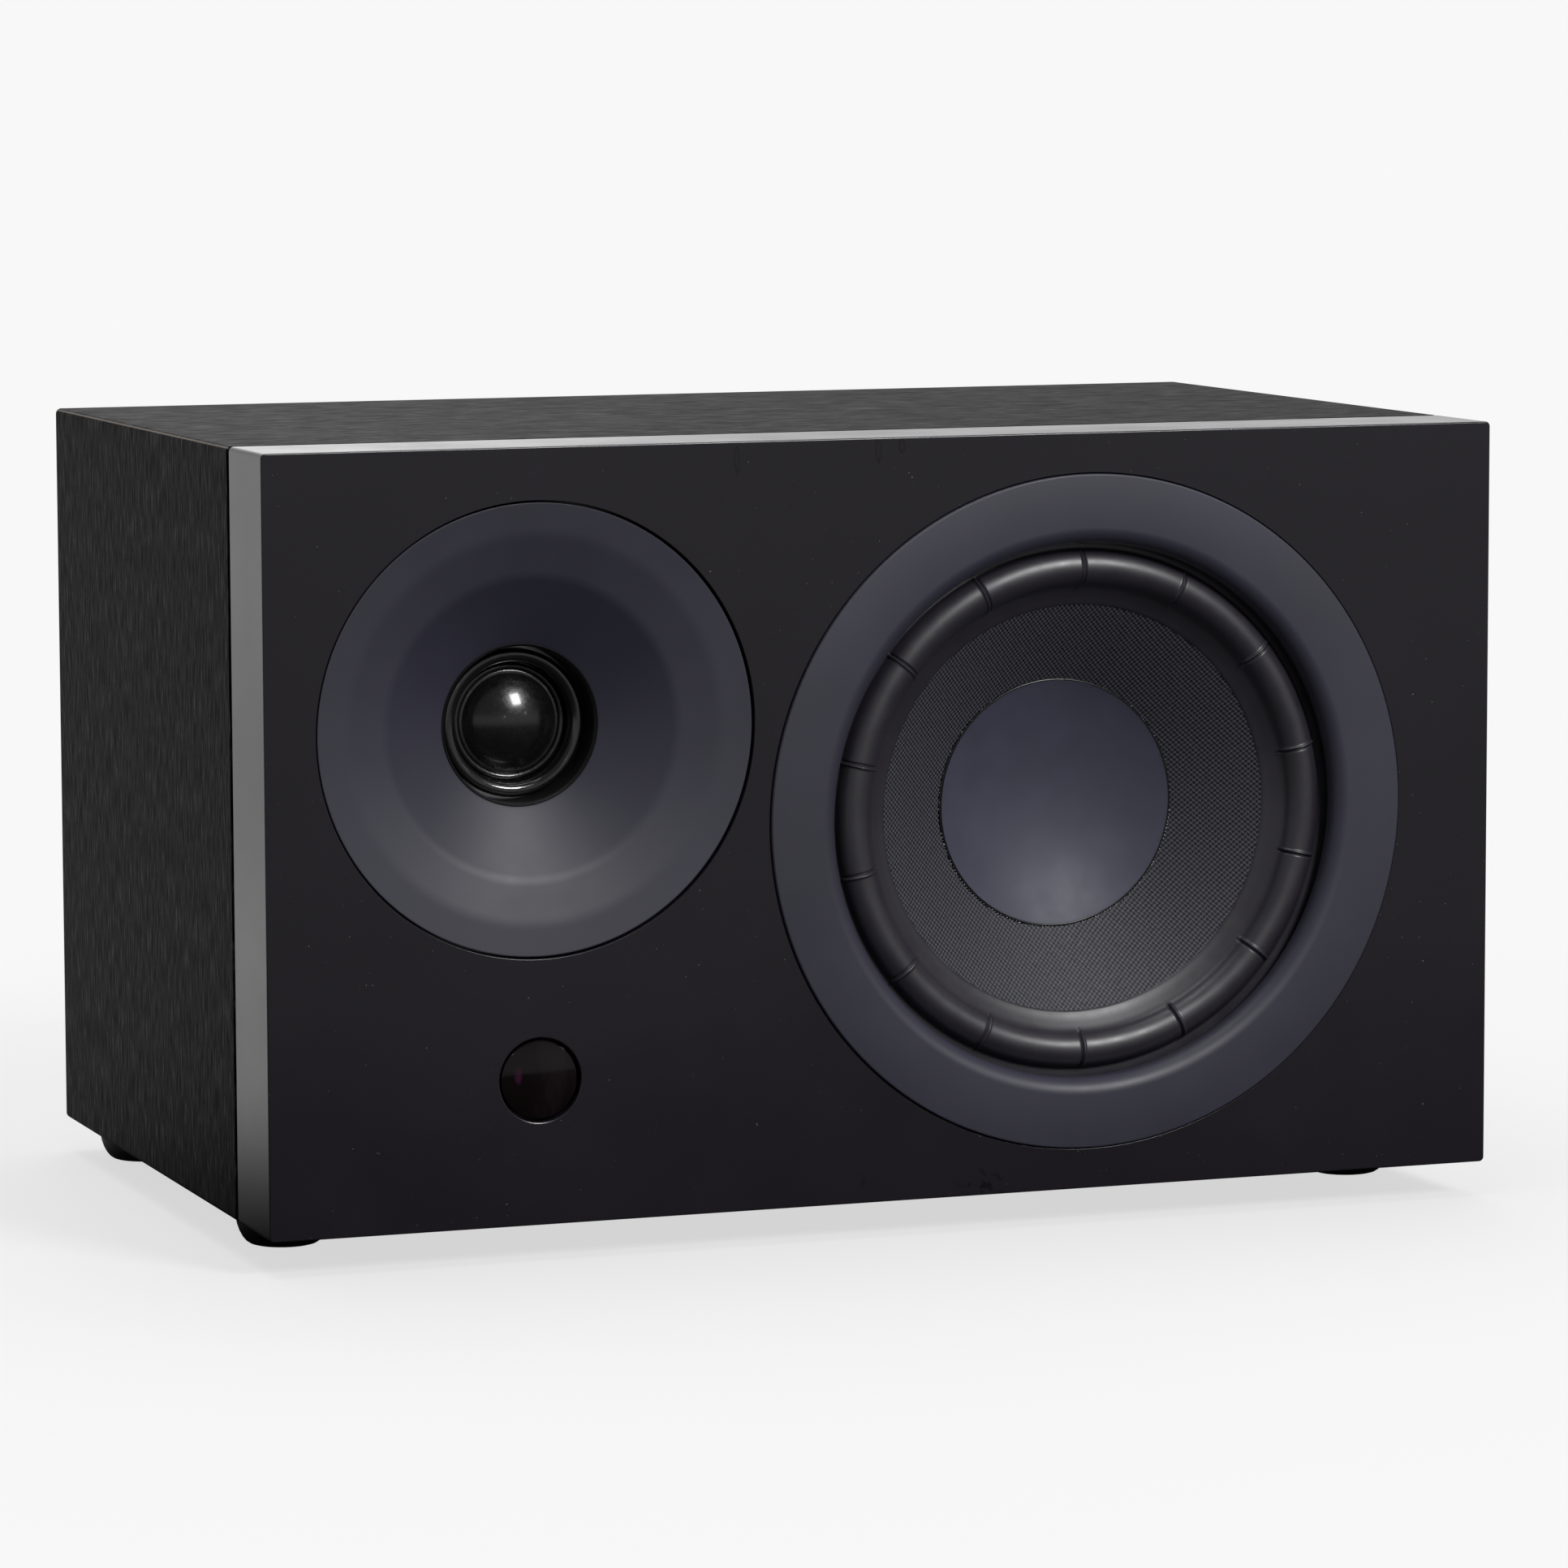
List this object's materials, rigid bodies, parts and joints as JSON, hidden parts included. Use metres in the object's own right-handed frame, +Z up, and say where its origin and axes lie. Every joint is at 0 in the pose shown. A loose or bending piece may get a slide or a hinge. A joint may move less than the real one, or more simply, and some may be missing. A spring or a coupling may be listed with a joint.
{
  "type": "active loudspeaker",
  "caption": "Low wide active loudspeaker: black cabinet with a thick front board, ribbed bass driver, dome tweeter in a waveguide, remote window, rear port and amplifier plate.",
  "frame": {"origin": "centre of the bounding box's bottom face, on the plane the feet stand on", "axes": "+X to the right seen from the front, +Y to the rear (the drivers face -Y), +Z up"},
  "size_m": [0.34, 0.2198, 0.2095],
  "materials": {
    "cabinet_foil": "black stained wood-grain foil, satin",
    "raw_board": "raw fibre board",
    "black_lacquer": "satin black lacquer on fibre board",
    "rear_paint": "matt black painted fibre board",
    "gasket_foam": "closed-cell foam",
    "wadding": "polyester wadding",
    "ring_finish": "fine matt charcoal",
    "basket_paint": "black powder coat on cast metal",
    "screw_steel": "zinc-plated",
    "black_screw": "black oxide",
    "surround_rubber": "satin butyl rubber",
    "woven_cone": "coated woven fibre",
    "cap_felt": "soft matt moulding",
    "former_film": "amber polyimide film",
    "copper": "enamelled copper wire",
    "spider_cloth": "resin-dipped corrugated cloth",
    "plate_steel": "zinc-plated turned steel",
    "ferrite": "sintered ferrite",
    "tag_brass": "tinned tags on fibre board",
    "guide_finish": "fine matt charcoal",
    "ring_gloss": "polished black",
    "dome_film": "coated glossy textile",
    "cup_plastic": "moulded black",
    "lens_plastic": "dark infrared-passing plastic",
    "circuit_board": "glass-fibre laminate, green mask",
    "plate_coat": "black anodised, fine texture",
    "bare_aluminium": "sawn and milled",
    "core_iron": "varnished core and tape",
    "can_sleeve": "shrink sleeve",
    "shield_tin": "tinned shield",
    "socket_plastic": "moulded black",
    "plated_contact": "nickel plated",
    "foot_rubber": "solid black rubber",
    "lead_sheath": "soft vinyl sheath"
  },
  "bodies": {
    "cabinet": {"cabinet_shell": "cabinet_foil", "rear_board": "rear_paint", "front_baffle": "black_lacquer", "seam_gasket": "gasket_foam", "inner_brace": "raw_board", "damping_sheet": "wadding", "woofer_trim_ring": "ring_finish", "woofer_basket": "basket_paint", "woofer_screws": "screw_steel", "woofer_surround": "surround_rubber", "woofer_spider": "spider_cloth", "woofer_pole_plate": "plate_steel", "woofer_magnet": "ferrite", "woofer_yoke": "plate_steel", "woofer_terminals": "tag_brass", "tweeter_waveguide": "guide_finish", "tweeter_ring": "ring_gloss", "tweeter_surround": "dome_film", "tweeter_pole_plate": "plate_steel", "tweeter_magnet": "ferrite", "tweeter_yoke": "plate_steel", "tweeter_rear_cup": "cup_plastic", "tweeter_screws": "screw_steel", "window_lens": "lens_plastic", "receiver_board": "circuit_board", "port_tube": "cup_plastic", "amplifier_plate": "plate_coat", "plate_screws": "black_screw", "amplifier_board": "circuit_board", "power_board": "circuit_board", "input_board": "circuit_board", "board_posts": "tag_brass", "heat_block": "bare_aluminium", "transformer": "core_iron", "capacitors": "can_sleeve", "wireless_module": "shield_tin", "mains_inlet": "socket_plastic", "inlet_pins": "plated_contact", "rocker_frame": "socket_plastic", "cinch_sockets": "plated_contact", "network_socket": "shield_tin", "line_socket": "socket_plastic", "button_switch": "socket_plastic", "foot_front_left": "foot_rubber", "foot_front_right": "foot_rubber", "foot_rear_left": "foot_rubber", "foot_rear_right": "foot_rubber", "foot_screws": "screw_steel", "speaker_leads": "lead_sheath"},
    "bass_cone": {"woofer_cone": "woven_cone", "woofer_dust_cap": "cap_felt", "woofer_coil_former": "former_film", "woofer_voice_coil": "copper"},
    "treble_dome": {"tweeter_dome": "dome_film", "tweeter_coil": "copper"},
    "rocker": {"power_rocker": "socket_plastic"},
    "button": {"setup_button": "socket_plastic"}
  },
  "joints": [
    {"name": "cone_travel", "type": "slide", "parent": "cabinet", "child": "bass_cone", "axis": [0, -1, 0], "range_m": [-0.004, 0.004], "stiffness_N_per_m": 900, "deforming": ["woofer_surround", "woofer_spider"]},
    {"name": "dome_travel", "type": "slide", "parent": "cabinet", "child": "treble_dome", "axis": [0, -1, 0], "range_m": [-0.0004, 0.0004], "stiffness_N_per_m": 500, "deforming": ["tweeter_surround"]},
    {"name": "power_rocker_tilt", "type": "hinge", "parent": "cabinet", "child": "rocker", "pos_m": [0.112, 0.0999, 0.0955], "axis": [1, 0, 0], "range_deg": [0, 16]},
    {"name": "setup_button_press", "type": "slide", "parent": "cabinet", "child": "button", "axis": [0, -1, 0], "range_m": [0, 0.0008], "stiffness_N_per_m": 400, "springref_m": -0.0005}
  ]
}
